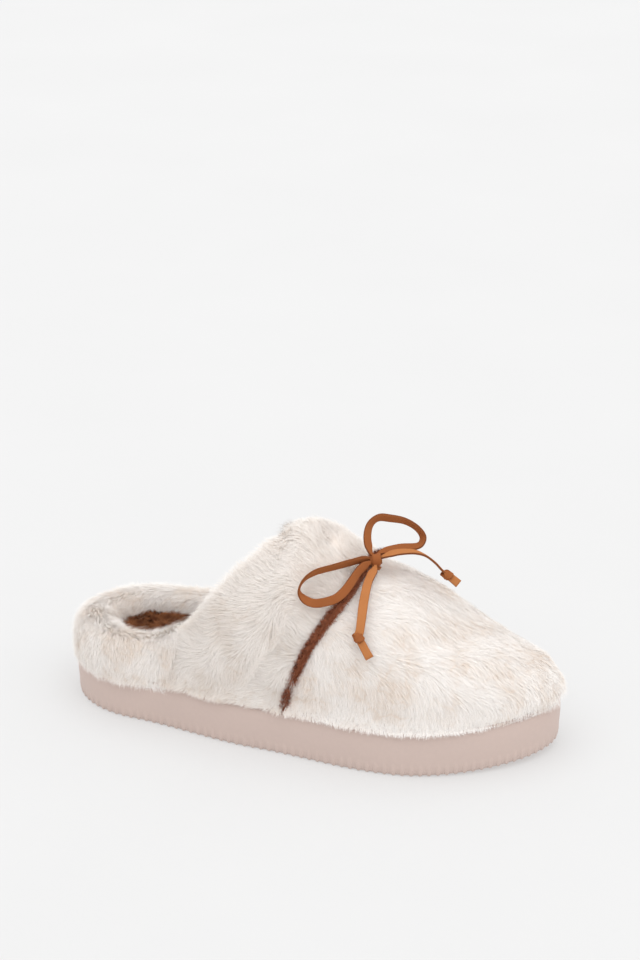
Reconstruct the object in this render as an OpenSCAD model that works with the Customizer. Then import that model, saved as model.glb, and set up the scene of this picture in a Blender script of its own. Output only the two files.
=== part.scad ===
// Fluffy house slipper for the right foot.
// Toe towards +X, outer side of the foot towards -Y, up +Z.
// Origin in the middle of the resting face. Millimetres.

/* [Sole] */
// Length of the sole from heel to toe
sole_l = 262; // [240:1:285]
// Width of the sole at the heel
heel_w = 73; // [68:1:80]
// Width of the sole at the waist
waist_w = 84; // [78:1:90]
// Width of the sole across the ball of the foot
ball_w = 96; // [90:1:104]
// Height of the sole's side wall
sole_h = 24; // [20:1:30]
// How far the sole lifts at the toe
toe_spring = 4; // [0:0.5:8]
// How far the toe's tip lies towards the inner side of the foot
toe_swing = 13; // [6:1:16]
// Ribs round the lower edge of the sole
ribs = 132; // [96:2:150]

/* [Upper] */
// Height of the upper at the foot opening, above the rand
peak_h = 84; // [74:1:92]
// Height of the upper half way to the toe, above the rand
mid_h = 47; // [42:1:56]
// Height of the upper just behind the toe's tip, above the rand
toe_h = 13; // [9:1:20]
// How much the fur puffs up just behind the seam
instep_puff = 5; // [3:0.5:7]
// How much the fur puffs up just in front of the seam
toe_puff_up = 4; // [1:0.5:6]
// How far the fur bulges beyond the sole
fur_bulge = 3; // [1:0.5:5]
// Thickness of the fur fabric, pile and all
fur_t = 5; // [4:0.5:7]
// Where the seam between the panels crosses the ridge
seam_x = 31; // [24:1:38]

/* [Heel] */
// Height of the heel collar above the rand
collar_h = 20.5; // [18:0.5:28]
// How much higher the collar's ends rise towards the upper
collar_rise = 14; // [8:1:18]
// Thickness of the heel collar
collar_t = 18; // [16.5:0.5:22]

/* [Bow] */
// Width of the suede lace
lace_w = 4.5; // [3.5:0.5:6]
// Thickness of the suede lace
lace_t = 1.2; // [1:0.1:1.6]
// Radius of the knots at the ends of the lace
end_r = 2.9; // [2.4:0.1:3.4]
// Radius of the wrapped centre of the bow
knot_r = 3.0; // [2.4:0.1:3.2]

/* [Hidden] */

half_l = sole_l / 2;
heel_x = -half_l + 40;
waist_x = -15;
ball_x = 48;
heel_cap = 45;
toe_cap = 70;
toe_taper = 6;
spring_x = 60;
waist_lat = waist_w / 2 + 2.5;
waist_med = waist_w / 2 - 2;

gap = 0.15;
rand_h = 2;
rand_z = sole_h + gap;
rand_top = rand_z + rand_h;
upper_z = rand_top + gap;
wall_t = 8;
floor_t = 6;
board_t = 2;
foam_t = 5;
sock_t = 3;

over_tip = 2;
nose_r = 16;
layer_gap = 0.35;
wadding_t = 2;
puff_t = 1.2;
lining_t = 0.9;
pad_d = fur_t + layer_gap;
puff_d = pad_d + wadding_t + layer_gap;
lining_d = puff_d + puff_t + layer_gap;

open_crest = -8;
open_low = -70;
open_low_inner = -58;
seam_low = 2;
seam_half = 1.3;
seam_gap = 2.1;

collar_out = 3.2;
collar_back = 0.45;
toe_inset = 6;

knot = [36.5, -2, upper_z + 71.2];

// Values between 0 and 1, and an even ease from a to b.
function unit(t) = min(max(t, 0), 1);
function ease(a, b, t) = a + (b - a) * unit(t) * unit(t) * (3 - 2 * unit(t));
function mix(a, b, t) = a + (b - a) * t;
function round_end(s) = s > 0 ? sqrt(max(0, 1 - s * s)) : 1;

// The sole's plan: half widths on the outer (-1) and inner (1) side, and its centre line.
function plain_half(x, side) =
    let (w = side < 0 ? waist_lat : waist_med, b = ball_w / 2)
    x < waist_x ? ease(heel_w / 2, w, (x - heel_x) / (waist_x - heel_x))
    : x < ball_x ? ease(w, b, (x - waist_x) / (ball_x - waist_x))
    : ease(b, b - toe_taper, (x - ball_x) / (half_l - ball_x));
function centre_y(x) = toe_swing * pow(unit((x - 30) / (half_l - 30)), 2);
function lift(x) = toe_spring * pow(unit((x - spring_x) / (half_l - spring_x)), 2);
function plan(t) =
    let (
        x = half_l * cos(t),
        side = sin(t) < 0 ? -1 : 1,
        toe = round_end((x - half_l + toe_cap) / toe_cap),
        heel = round_end((-x - half_l + heel_cap) / heel_cap)
    )
    [x, centre_y(x) + side * plain_half(x, side) * toe * heel];
// The plan's outline moved outwards by d.
function plan_off(t, d) =
    let (v = plan(t + 0.4) - plan(t - 0.4), p = plan(t))
    p + d * [v[1], -v[0]] / norm(v);
// A closed ring round the sole at height z, moved outwards by d, notched by e at every other point.
function ring(n, d, z, e = 0) = [
    for (i = [0:n - 1])
        let (p = plan_off(360 * (i + 0.5) / n, d - (i % 2) * e))
        [p[0], p[1], z + lift(p[0])]
];
// Share by which the collar is thicker at the back of the heel.
function back_share(x) = collar_back * unit((-96 - x) / 30);
// How far the inner pieces stay inside the outline: more at the heel, inside the collar, and at the toe.
function inner_gap(x) =
    ease(collar_t - 1.6, lining_d + lining_t + 1, (x + 75) / 50) + collar_t * back_share(x)
    + ease(0, toe_inset, (x - 62) / 55);
function inner_ring(n, d, z) = [
    for (i = [0:n - 1])
        let (t = 360 * (i + 0.5) / n, p = plan_off(t, -inner_gap(half_l * cos(t)) - d))
        [p[0], p[1], z + lift(p[0])]
];

// The upper's skin: x along the slipper, a from 0 (outer edge) over 90 (ridge) to 180, d inwards.
function hump(x, a, b, h) = h * pow(sin(180 * unit((x - a) / (b - a))), 1.5);
function ridge(x) =
    let (t = (x < 0 ? 0.45 * x : x) / (half_l + over_tip))
    peak_h * (1 - t) * (1 - t) + 2 * mid_h * t * (1 - t) + toe_h * t * t
    + hump(x, -6, seam_x + 1, instep_puff) + hump(x, seam_x - 8, 84, toe_puff_up)
    - ease(0, 5.5, (6 - x) / 16);
function skin(x, a, d) =
    let (
        side = a < 90 ? -1 : 1,
        tip = half_l + over_tip - d,
        toe = round_end((x - tip + toe_cap) / toe_cap),
        nose = round_end((x - tip + nose_r) / nose_r),
        w = plain_half(x, side) - d + fur_bulge * abs(sin(2 * a)),
        h = (ridge(x) - d) * nose
    )
    [
        x,
        centre_y(x) + side * w * toe * pow(abs(cos(a)), 0.8),
        upper_z + lift(x) + h * pow(sin(a), 0.83)
    ];
// One row of the skin from edge [x at the ridge, x low outside, x low inside, bend], moved by s in x.
function skin_row(edge, s, d, n) = [
    for (j = [0:n])
        let (a = 180 * j / n, low = a < 90 ? edge[1] : edge[2])
        skin(mix(low, edge[0], sin(a) + edge[3] * abs(sin(2 * a))) + s, a, d)
];
open_edge = [open_crest, open_low, open_low_inner, -0.07];
seam_edge = [seam_x, seam_low, seam_low, 0.09];
puff_edge = [78, 70, 70, 0];
// Rows from the opening to the seam, shifted by from and to.
function instep_rows(from, to, d, rows, n) = [
    for (i = [0:rows]) skin_row(mix(open_edge, seam_edge, i / rows), mix(from, to, i / rows), d, n)
];
// Rows from an edge to the toe's tip, closer together towards the tip.
function toe_rows(edge, from, d, rows, n) = [
    for (i = [0:rows])
        let (s = sin(90 * i / rows), tip = half_l + over_tip - d - 0.3)
        skin_row(mix(edge, [tip, tip, tip, 0], s), from * (1 - s), d, n)
];

// Indices of a strip of two triangles for each pair of neighbours in rows a and b.
function strip(a, b, n) = [
    for (i = [0:n - 2], k = [0, 1])
        k == 0 ? [a + i, a + i + 1, b + i] : [a + i + 1, b + i + 1, b + i]
];

// A solid between an outer and an inner sheet of points that have the same rows and columns.
module slab(outer, inner) {
    r = len(outer);
    n = len(outer[0]);
    m = r * n;
    pts = concat([for (q = outer, p = q) p], [for (q = inner, p = q) p]);
    top = [for (i = [0:r - 2]) each strip(i * n, (i + 1) * n, n)];
    under = [for (i = [0:r - 2]) each strip(m + (i + 1) * n, m + i * n, n)];
    first = strip(m, 0, n);
    last = strip((r - 1) * n, m + (r - 1) * n, n);
    sides = [
        for (i = [0:r - 2], f = [
            [i * n, (i + 1) * n, m + i * n],
            [(i + 1) * n, m + (i + 1) * n, m + i * n],
            [i * n + n - 1, m + i * n + n - 1, (i + 1) * n + n - 1],
            [(i + 1) * n + n - 1, m + i * n + n - 1, m + (i + 1) * n + n - 1]
        ])
            f
    ];
    polyhedron(pts, concat(top, under, first, last, sides));
}

// A solid through closed rings of equal count, its ends closed by strips across the ring.
module loft(rings) {
    r = len(rings);
    n = len(rings[0]);
    pts = [for (q = rings, p = q) p];
    wall = [
        for (i = [0:r - 2], j = [0:n - 1], k = [0, 1])
            let (a = i * n + j, b = i * n + (j + 1) % n)
            k == 0 ? [a, a + n, b] : [b, a + n, b + n]
    ];
    half = n / 2;
    bottom = [
        for (j = [0:half - 2], k = [0, 1])
            k == 0 ? [j, j + 1, n - 1 - j] : [j + 1, n - 2 - j, n - 1 - j]
    ];
    c = (r - 1) * n;
    lid = [for (f = bottom) [c + f[0], c + f[2], c + f[1]]];
    polyhedron(pts, concat(wall, bottom, lid));
}

// A solid swept through a list of closed sections, with a fan over each end.
module sweep(sections) {
    r = len(sections);
    n = len(sections[0]);
    pts = [for (q = sections, p = q) p];
    wall = [
        for (i = [0:r - 2], j = [0:n - 1], k = [0, 1])
            let (a = i * n + j, b = i * n + (j + 1) % n)
            k == 0 ? [a, b, a + n] : [b, b + n, a + n]
    ];
    start = [for (j = [1:n - 2]) [0, j + 1, j]];
    c = (r - 1) * n;
    end = [for (j = [1:n - 2]) [c, c + j, c + j + 1]];
    polyhedron(pts, concat(wall, start, end));
}

// ---- Sole ----

module outsole() {
    n = 2 * ribs;
    color("antiquewhite")
        loft([
            ring(n, -1.6, 0, 0.8),
            ring(n, 0, 1.6, 0.9),
            ring(n, 0.3, 8, 0.5),
            ring(n, 0.6, 13),
            ring(n, 0.3, sole_h - 1.6),
            ring(n, -1, sole_h),
            ring(n, -wall_t, sole_h),
            ring(n, -wall_t - 0.6, floor_t)
        ]);
}

module midsole_foam() {
    n = 72;
    color("white")
        loft([
            ring(n, -wall_t - 0.8, floor_t + gap),
            ring(n, -wall_t - 0.3, sole_h - 0.1)
        ]);
}

// A band of rectangular section that follows the outline between two offsets.
module rand_strip() {
    n = 96;
    d_out = 0.9;
    d_in = -9;
    color("tan")
        difference() {
            loft([ring(n, d_out - 0.4, rand_z), ring(n, d_out, rand_z + 1), ring(n, d_out - 0.5, rand_top)]);
            loft([ring(n, d_in, rand_z - 1), ring(n, d_in, rand_top + 1)]);
        }
}

module insole_board() {
    n = 64;
    z = rand_top + gap;
    color("sienna")
        loft([inner_ring(n, 0, z), inner_ring(n, 0, z + board_t)]);
}

module footbed_foam() {
    n = 64;
    z = rand_top + 2 * gap + board_t;
    color("ivory")
        loft([inner_ring(n, 0, z), inner_ring(n, 0, z + foam_t - 1), inner_ring(n, 1, z + foam_t)]);
}

module sock_liner() {
    n = 64;
    z = rand_top + 3 * gap + board_t + foam_t;
    color("saddlebrown")
        loft([inner_ring(n, 0.6, z), inner_ring(n, 0.2, z + 1), inner_ring(n, 1.4, z + sock_t)]);
}

// ---- Upper ----

module toe_panel() {
    color("floralwhite")
        slab(
            toe_rows(seam_edge, seam_gap, 0, 15, 26),
            toe_rows(seam_edge, seam_gap, fur_t, 15, 26)
        );
}

module instep_panel() {
    color("floralwhite")
        slab(instep_rows(0, -seam_gap, 0, 9, 26), instep_rows(0, -seam_gap, fur_t, 9, 26));
}

module seam_piping() {
    color("saddlebrown")
        slab(
            [for (k = [-1:1]) skin_row(seam_edge, k * seam_half, abs(k) * 0.7 - 0.8, 32)],
            [for (k = [-1:1]) skin_row(seam_edge, k * seam_half, fur_t, 32)]
        );
}

module toe_padding() {
    d = pad_d + wadding_t;
    color("white")
        slab(
            toe_rows(seam_edge, 1, pad_d, 15, 26),
            toe_rows(seam_edge, 1, d, 15, 26)
        );
}

module instep_padding() {
    d = pad_d + wadding_t;
    color("white")
        slab(instep_rows(2, -1, pad_d, 9, 26), instep_rows(2, -1, d, 9, 26));
}

module toe_puff() {
    d = puff_d + puff_t;
    color("burlywood")
        slab(toe_rows(puff_edge, 0, puff_d, 9, 26), toe_rows(puff_edge, 0, d, 9, 26));
}

module vamp_lining() {
    d = lining_d + lining_t;
    color("linen")
        slab(
            concat(instep_rows(1, -1, lining_d, 7, 26), toe_rows(seam_edge, 6, lining_d, 12, 26)),
            concat(instep_rows(1, -1, d, 7, 26), toe_rows(seam_edge, 6, d, 12, 26))
        );
}

module topline_tape() {
    d = puff_d + 0.6;
    color("white")
        slab(
            [for (k = [2, 6, 10]) skin_row(open_edge, k, puff_d, 26)],
            [for (k = [2, 6, 10]) skin_row(open_edge, k, d, 26)]
        );
}

// ---- Heel ----

// Where the collar ends, for a point at height z above the rand.
function collar_end(z, inner) = (inner ? open_low_inner : open_low) - 0.6 + 0.38 * z;
// How much higher the collar stands than its profile: rising towards its ends, most on the outer side.
function collar_lift(x, turn) =
    ease(0, collar_rise / collar_h, (x + 82) / 29) * (turn < 0 ? 1 : 0.25) + ease(0, 0.1, -turn * 2);
// Sections of the collar: each point is [offset from the outline, height above the rand].
function collar_sections(profile, back, steps) = [
    for (i = [0:steps]) [
        for (p = profile)
            let (
                t0 = acos((collar_end(p[1], true) - back) / half_l),
                t1 = 360 - acos((collar_end(p[1], false) - back) / half_l),
                t = mix(t0, t1, i / steps),
                x = half_l * cos(t),
                q = plan_off(t, collar_out + (p[0] - collar_out) * (1 + back_share(x)))
            )
            [q[0], q[1], upper_z + p[1] * (1 + collar_lift(x, sin(t)))]
    ]
];
// Half an oval over the band from offset d0 to d1, h high, as a profile from outer foot to inner foot.
function arch(d0, d1, h, n, dir) = [
    for (j = [0:n])
        let (a = dir > 0 ? 180 * j / n : 180 - 180 * j / n, c = (d0 + d1) / 2, r = (d0 - d1) / 2)
        [c + r * sign(cos(a)) * pow(abs(cos(a)), 0.8), h * pow(sin(a), 0.75)]
];

module heel_collar() {
    d0 = collar_out;
    d1 = collar_out - collar_t;
    color("floralwhite")
        sweep(collar_sections(
            concat(
                arch(d0, d1, collar_h, 12, 1),
                arch(d0 - fur_t, d1 + fur_t, collar_h - fur_t, 8, -1)
            ), 0, 34
        ));
}

module collar_foam() {
    d0 = collar_out - fur_t - gap - 1.5;
    d1 = collar_out - collar_t + fur_t + gap;
    color("white")
        sweep(collar_sections(arch(d0, d1, collar_h - fur_t - 1.2, 8, 1), 1, 30));
}

module heel_counter() {
    d0 = collar_out - fur_t - layer_gap - 0.1;
    h = collar_h - fur_t - 6;
    lean = 0.6;
    t = 0.8;
    color("burlywood")
        sweep(collar_sections([[d0, 0.2], [d0 - lean, h], [d0 - lean - t, h], [d0 - t, 0.2]], 12, 48));
}

// ---- Bow ----

// A smooth curve through a list of points, at share s of the way from point i.
function curve_at(r, i, s) =
    let (
        n = len(r) - 1, a = r[max(i - 1, 0)], b = r[i],
        c = r[min(i + 1, n)], d = r[min(i + 2, n)]
    )
    0.5 * (2 * b + (c - a) * s + (2 * a - 5 * b + 4 * c - d) * s * s + (3 * b - a - 3 * c + d) * s * s * s);
function route(r, k) = [
    for (i = [0:len(r) - 2], j = [0:k - 1]) curve_at(r, i, j / k), r[len(r) - 1]
];
function to3(p) = [p[0], p[1], p[2]];
function dir(v) = v / norm(v);
// The lace's flat section at point i of a route whose points also carry the way its width lies.
function lace_section(r, i, w, t) =
    let (
        n = len(r) - 1,
        along = dir(to3(r[min(i + 1, n)]) - to3(r[max(i - 1, 0)])),
        wide = [r[i][3], r[i][4], r[i][5]],
        u = dir(wide - along * (wide * along)),
        v = cross(along, u)
    )
    [
        for (q = [[1, -0.5], [0.86, -1], [-0.86, -1], [-1, -0.5], [-1, 0.5], [-0.86, 1], [0.86, 1], [1, 0.5]])
            knot + to3(r[i]) + u * q[0] * w / 2 + v * q[1] * t / 2
    ];
module lace(points, k) {
    r = route(points, k);
    color("peru")
        sweep([for (i = [0:len(r) - 1]) lace_section(r, i, lace_w, lace_t)]);
}

// Each point is [x, y, z] from the knot's centre, then the way the lace's width lies.
loop_left = [
    [-4, -3, 1.5, 0.1, -0.6, 0.8], [-9, -11.8, 2.4, 0.1, -0.6, 0.8], [-15, -22.8, 3.4, 0.1, -0.6, 0.8],
    [-21.5, -30.5, 3, 0.1, -0.6, 0.8], [-26, -35, 0, 0.2, -0.8, 0.5], [-27.5, -38, -4.5, 0.3, -0.9, 0.1],
    [-24, -40, -8, 0.3, -0.8, -0.5], [-19, -40, -9.5, 0.1, -0.5, -0.9], [-14, -38, -9, 0.1, -0.3, -0.9],
    [-9.4, -34, -8, 0.4, -0.2, -0.8], [-6.8, -29, -6, 0.6, 0, -0.7], [-5.4, -22, -3.5, 0.5, 0, -0.8],
    [-4.6, -13, -1.2, 0.4, 0, -0.9], [-3.1, -5.5, -0.4, 0.4, 0, -0.9]
];
loop_right = [
    [-3.8, 1.5, 3.6, 0.6, 0.8, -0.2], [-6.5, 5, 9.5, 0.6, 0.8, -0.2], [-6.8, 10, 14.5, 0.4, 0.7, -0.5],
    [-3.8, 14.5, 17, -0.1, 0.3, -1], [1.5, 18, 16, -0.1, 0.3, -1], [8, 22.5, 13.5, -0.3, 0.4, -0.8],
    [14, 24.5, 9.5, -0.6, 0.4, -0.6], [17.3, 24, 5, -0.8, 0.4, -0.3], [16, 20, 2, -0.5, 0.8, 0.2],
    [8.5, 13, 2.8, -0.3, 0.9, 0.3], [1.2, 4.8, 2.4, -0.3, 0.9, 0.3]
];
tail_front = [
    [1, -4.6, -2.6, 0.9, 0.3, 0], [1.3, -11, -3.4, 0.9, 0.3, 0], [1.9, -18.5, -5.2, 0.9, 0.3, 0],
    [3.4, -28, -10, 0.9, 0.3, 0], [4.8, -35.5, -16.3, 0.9, 0.3, 0], [5.4, -39.5, -20.8, 0.9, 0.3, 0]
];
tail_right = [
    [4.6, 1, 2.6, -0.3, 0.9, 0.2], [9, 4, 3.8, -0.3, 0.9, 0.2], [14, 7, 3.9, -0.3, 0.9, 0.1],
    [18.5, 9.5, 3.2, -0.3, 0.9, -0.1], [23, 11.5, 1, -0.3, 0.9, -0.4], [27.5, 13, -2.8, -0.3, 0.9, -0.4],
    [31, 13.3, -6.3, -0.3, 0.9, -0.4]
];

// A small tab sewn over the seam under the knot.
module bow_stay() {
    color("peru")
        translate(knot + [0, 0, -knot_r - 0.9])
            rotate([0, 14, 0])
                cube([5, 3.4, 0.6], center = true);
}

// The lace wrapped once round the middle of the bow.
module bow_knot() {
    color("peru")
        translate(knot)
            rotate([0, 0, 50])
                rotate([0, 90, 0]) {
                    cylinder(r = knot_r, h = 4, center = true, $fn = 48);
                    cylinder(r = knot_r - 0.8, h = 5.2, center = true, $fn = 48);
                }
}

module bow_loop_left() {
    lace(loop_left, 3);
}

module bow_loop_right() {
    lace(loop_right, 4);
}

module lace_tail_front() {
    lace(tail_front, 4);
}

module lace_tail_right() {
    lace(tail_right, 4);
}

// The section of an end knot at distance s from its centre: a bead first, then the lace's flat cut end.
function knot_section(p, u, wide, s) =
    let (
        across = dir(wide - u * (wide * u)),
        up = cross(u, across),
        bead = sqrt(max(0, end_r * end_r - s * s)),
        stub = s > 0 ? 1 : 0,
        a = max(bead, stub * lace_w * 0.46),
        b = max(bead, stub * lace_t / 2)
    )
    [for (t = [345:-30:15]) knot + p + u * s + across * a * cos(t) + up * b * sin(t)];
module end_knot(p, q, wide) {
    u = dir(q - p);
    steps = [-0.99, -0.9, -0.7, -0.4, 0, 0.4, 0.7, 0.9, 1.02];
    color("peru")
        sweep([for (s = concat(end_r * steps, [norm(q - p)])) knot_section(p, u, wide, s)]);
}

module tail_knot_front() {
    end_knot([5.6, -42, -23.6], [12.6, -45, -32.5], [0.8, 0.5, 0.4]);
}

module tail_knot_right() {
    end_knot([34, 13.6, -8.8], [40, 13.8, -13], [-0.3, 0.9, -0.4]);
}

outsole();
midsole_foam();
rand_strip();
insole_board();
footbed_foam();
sock_liner();
toe_panel();
instep_panel();
seam_piping();
toe_padding();
instep_padding();
toe_puff();
vamp_lining();
topline_tape();
heel_collar();
collar_foam();
heel_counter();
bow_stay();
bow_knot();
bow_loop_left();
bow_loop_right();
lace_tail_front();
lace_tail_right();
tail_knot_front();
tail_knot_right();
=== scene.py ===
"""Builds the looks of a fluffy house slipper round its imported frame: pelts, fur, plush, sole and lace bow."""

import math

import bmesh
import bpy
import numpy as np
from bpy.props import FloatProperty, FloatVectorProperty, IntProperty, PointerProperty
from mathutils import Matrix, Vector


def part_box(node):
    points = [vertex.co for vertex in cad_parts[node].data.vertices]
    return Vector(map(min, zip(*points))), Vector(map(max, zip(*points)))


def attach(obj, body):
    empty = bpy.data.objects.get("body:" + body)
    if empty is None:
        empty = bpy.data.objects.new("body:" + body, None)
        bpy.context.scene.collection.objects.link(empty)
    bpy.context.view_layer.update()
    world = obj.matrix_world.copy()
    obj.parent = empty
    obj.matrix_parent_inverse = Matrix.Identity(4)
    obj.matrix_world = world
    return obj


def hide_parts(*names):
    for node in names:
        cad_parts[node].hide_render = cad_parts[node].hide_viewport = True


bl_info = {
    "name": "Fluffy House Slipper",
    "version": (1, 0, 0),
    "blender": (4, 5, 0),
    "location": "View3D > Sidebar > Slipper",
    "description": "Builds a fur slipper with a lace bow on its packed frame",
    "category": "Object",
}

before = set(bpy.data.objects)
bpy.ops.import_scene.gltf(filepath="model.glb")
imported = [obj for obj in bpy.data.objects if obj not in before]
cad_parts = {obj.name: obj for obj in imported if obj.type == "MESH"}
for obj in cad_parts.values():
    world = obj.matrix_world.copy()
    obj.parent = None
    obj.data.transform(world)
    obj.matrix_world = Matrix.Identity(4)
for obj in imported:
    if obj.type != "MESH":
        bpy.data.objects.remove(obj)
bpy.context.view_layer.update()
MM = 0.001
BODY = "slipper"

# ---- The shape rules, in millimetres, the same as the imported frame's ----

HALF_L = 131.0
HEEL_W, BALL_W = 73.0, 96.0
WAIST_OUTER, WAIST_INNER = 44.5, 40.0
HEEL_X, WAIST_X, BALL_X = -91.0, -15.0, 48.0
HEEL_CAP, TOE_CAP, TOE_TAPER = 45.0, 70.0, 6.0
TOE_SWING, TOE_SPRING, SPRING_X = 13.0, 4.0, 60.0
SOLE_H, RAND_Z, UPPER_Z = 24.0, 24.15, 26.3
WALL_T, FLOOR_T = 8.0, 6.0
PEAK_H, MID_H, TOE_H = 84.0, 47.0, 13.0
INSTEP_PUFF, TOE_PUFF_UP, FUR_BULGE = 5.0, 4.0, 3.0
OVER_TIP, NOSE_R = 2.0, 16.0
SEAM_X, FUR_T = 31.0, 5.0
OPEN_EDGE = (-8.0, -70.0, -58.0, -0.07)
SEAM_EDGE = (SEAM_X, 2.0, 2.0, 0.09)
LINING_D, LINING_T, TAPE_D = 9.25, 0.9, 7.7
COLLAR_OUT, COLLAR_T, COLLAR_H, COLLAR_RISE, COLLAR_BACK = 3.2, 18.0, 20.5, 14.0, 0.45
KNOT = np.array([36.5, -2.0, 97.5])
SHOE_MIDDLE = np.array([0.0, 0.0, 30.0])
HEM_PILE = [0.42, 0.45, 0.48]
HEM_OUT, SKIRT = 2.6, ((0.3, 0.2), (0.5, 0.5), (0.55, 0.8))


def unit(t):
    return np.clip(t, 0.0, 1.0)


def ease(a, b, t):
    u = unit(t)
    return a + (b - a) * u * u * (3 - 2 * u)


def mix(a, b, t):
    return a + (b - a) * t


def round_end(s):
    return np.where(s > 0, np.sqrt(np.clip(1 - s * s, 0, None)), 1.0)


def normalised(v):
    return v / np.maximum(np.linalg.norm(v, axis=-1, keepdims=True), 1e-9)


def plain_half(x, side):
    w = np.where(side < 0, WAIST_OUTER, WAIST_INNER)
    b = BALL_W / 2
    heel = ease(HEEL_W / 2, w, (x - HEEL_X) / (WAIST_X - HEEL_X))
    waist = ease(w, b, (x - WAIST_X) / (BALL_X - WAIST_X))
    toe = ease(b, b - TOE_TAPER, (x - BALL_X) / (HALF_L - BALL_X))
    return np.where(x < WAIST_X, heel, np.where(x < BALL_X, waist, toe))


def centre_y(x):
    return TOE_SWING * unit((x - 30) / (HALF_L - 30)) ** 2


def toe_lift(x):
    return TOE_SPRING * unit((x - SPRING_X) / (HALF_L - SPRING_X)) ** 2


def plan(t):
    x = HALF_L * np.cos(t)
    side = np.where(np.sin(t) < 0, -1.0, 1.0)
    ends = round_end((x - HALF_L + TOE_CAP) / TOE_CAP) * round_end((-x - HALF_L + HEEL_CAP) / HEEL_CAP)
    return np.stack([x, centre_y(x) + side * plain_half(x, side) * ends], -1)


def plan_off(t, d):
    v = normalised(plan(t + 0.007) - plan(t - 0.007))
    out = np.stack([v[..., 1], -v[..., 0]], -1)
    return plan(t) + out * np.asarray(d)[..., None]


def hump(x, a, b, h):
    return h * np.sin(np.pi * unit((x - a) / (b - a))) ** 1.5


def ridge(x):
    t = np.where(x < 0, 0.45 * x, x) / (HALF_L + OVER_TIP)
    return (
        PEAK_H * (1 - t) ** 2
        + 2 * MID_H * t * (1 - t)
        + TOE_H * t * t
        + hump(x, -6, SEAM_X + 1, INSTEP_PUFF)
        + hump(x, SEAM_X - 8, 84, TOE_PUFF_UP)
        - ease(0, 5.5, (6 - x) / 16)
    )


def skin(x, a, d):
    """The upper's outer face: x along it, a from its outer edge (0) over the ridge to pi, d inwards."""
    side = np.where(a < np.pi / 2, -1.0, 1.0)
    tip = HALF_L + OVER_TIP - d
    toe = round_end((x - tip + TOE_CAP) / TOE_CAP)
    nose = round_end((x - tip + NOSE_R) / NOSE_R)
    w = plain_half(x, side) - d + FUR_BULGE * np.abs(np.sin(2 * a))
    h = (ridge(x) - d) * nose
    return np.stack(
        [
            x + 0 * a,
            centre_y(x) + side * w * toe * np.abs(np.cos(a)) ** 0.8,
            UPPER_Z + toe_lift(x) + h * np.abs(np.sin(a)) ** 0.83,
        ],
        -1,
    )


def edge_x(edge, a):
    low = np.where(a < np.pi / 2, edge[1], edge[2])
    return mix(low, edge[0], np.sin(a) + edge[3] * np.abs(np.sin(2 * a)))


def instep_grid(d, rows, cols, start=0.0, stop=0.0):
    a = np.linspace(0, np.pi, cols)[None, :]
    s = np.linspace(0, 1, rows)[:, None]
    x = mix(edge_x(OPEN_EDGE, a) + start, edge_x(SEAM_EDGE, a) + stop, s)
    return skin(x, a + 0 * x, d)


def rim_grid(d, rows, cols, start=1.9, reach=1.6, deep=3.3):
    """Rows that roll round the opening's edge, from inside the shoe up to the depth d of the skin."""
    a = np.linspace(0, np.pi, cols)[None, :]
    turn = np.linspace(np.radians(165), 0, rows, endpoint=False)[:, None]
    x = edge_x(OPEN_EDGE, a) + start - reach * np.sin(turn)
    return skin(x, a + 0 * x, d + deep - deep * np.cos(turn))


def toe_grid(d, rows, cols, start=0.0):
    a = np.linspace(0, np.pi, cols)[None, :]
    s = np.sin(np.linspace(0, np.pi / 2, rows))[:, None]
    tip = HALF_L + OVER_TIP - d - 0.3
    x = mix(edge_x(SEAM_EDGE, a) + start, tip, s)
    return skin(x, a + 0 * x, d)


def collar_grid(profile, turns, reach=0.0):
    """Rows along the collar, columns round its profile of (offset from the outline, height)."""
    offs, high = profile[:, 0], profile[:, 1]
    inner_end = (OPEN_EDGE[2] - 0.6 + 0.38 * high + reach) / HALF_L
    outer_end = (OPEN_EDGE[1] - 0.6 + 0.38 * high + reach) / HALF_L
    t0, t1 = np.arccos(inner_end), 2 * np.pi - np.arccos(outer_end)
    t = mix(t0[None, :], t1[None, :], np.linspace(0, 1, turns)[:, None])
    x = HALF_L * np.cos(t)
    thick = 1 + COLLAR_BACK * unit((-96 - x) / 30)
    turn = np.sin(t)
    rise = ease(0, COLLAR_RISE / COLLAR_H, (x + 82) / 29) * np.where(turn < 0, 1.0, 0.25)
    rise = rise + ease(0, 0.1, -turn * 2)
    tuck = np.where(turn < 0, ease(0, 2.6, (x + 88) / 20), ease(0, 2.6, (x + 76) / 20))
    q = plan_off(t, COLLAR_OUT - tuck + (offs[None, :] - COLLAR_OUT) * thick)
    return np.stack([q[..., 0], q[..., 1], UPPER_Z + high[None, :] * (1 + rise)], -1)


def arch(inset, count):
    """The collar's half oval, from its outer foot over to its inner foot, inset from the fur's face."""
    a = np.linspace(0, np.pi, count)
    d0, d1 = COLLAR_OUT - inset, COLLAR_OUT - COLLAR_T + inset
    c, r, h = (d0 + d1) / 2, (d0 - d1) / 2, COLLAR_H - inset
    return np.stack([c + r * np.sign(np.cos(a)) * np.abs(np.cos(a)) ** 0.8, h * np.sin(a) ** 0.75], -1)


def waves(points, size, seed, count=9):
    """A smooth, repeatable noise of about -1 to 1 at points, its features about size millimetres wide."""
    rng = np.random.default_rng(seed)
    k = normalised(rng.normal(size=(count, 3))) * (2 * np.pi / size) * rng.uniform(0.6, 1.5, (count, 1))
    phase = rng.uniform(0, 2 * np.pi, count)
    return np.sin(points @ k.T + phase).sum(-1) / math.sqrt(count)


# ---- Meshes ----


def grid_faces(rows, cols, closed=False):
    i, j = np.meshgrid(np.arange(rows - 1), np.arange(cols if closed else cols - 1), indexing="ij")
    a, b = i * cols + j, i * cols + (j + 1) % cols
    return np.stack([a, b, b + cols, a + cols], -1).reshape(-1, 4)


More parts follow.
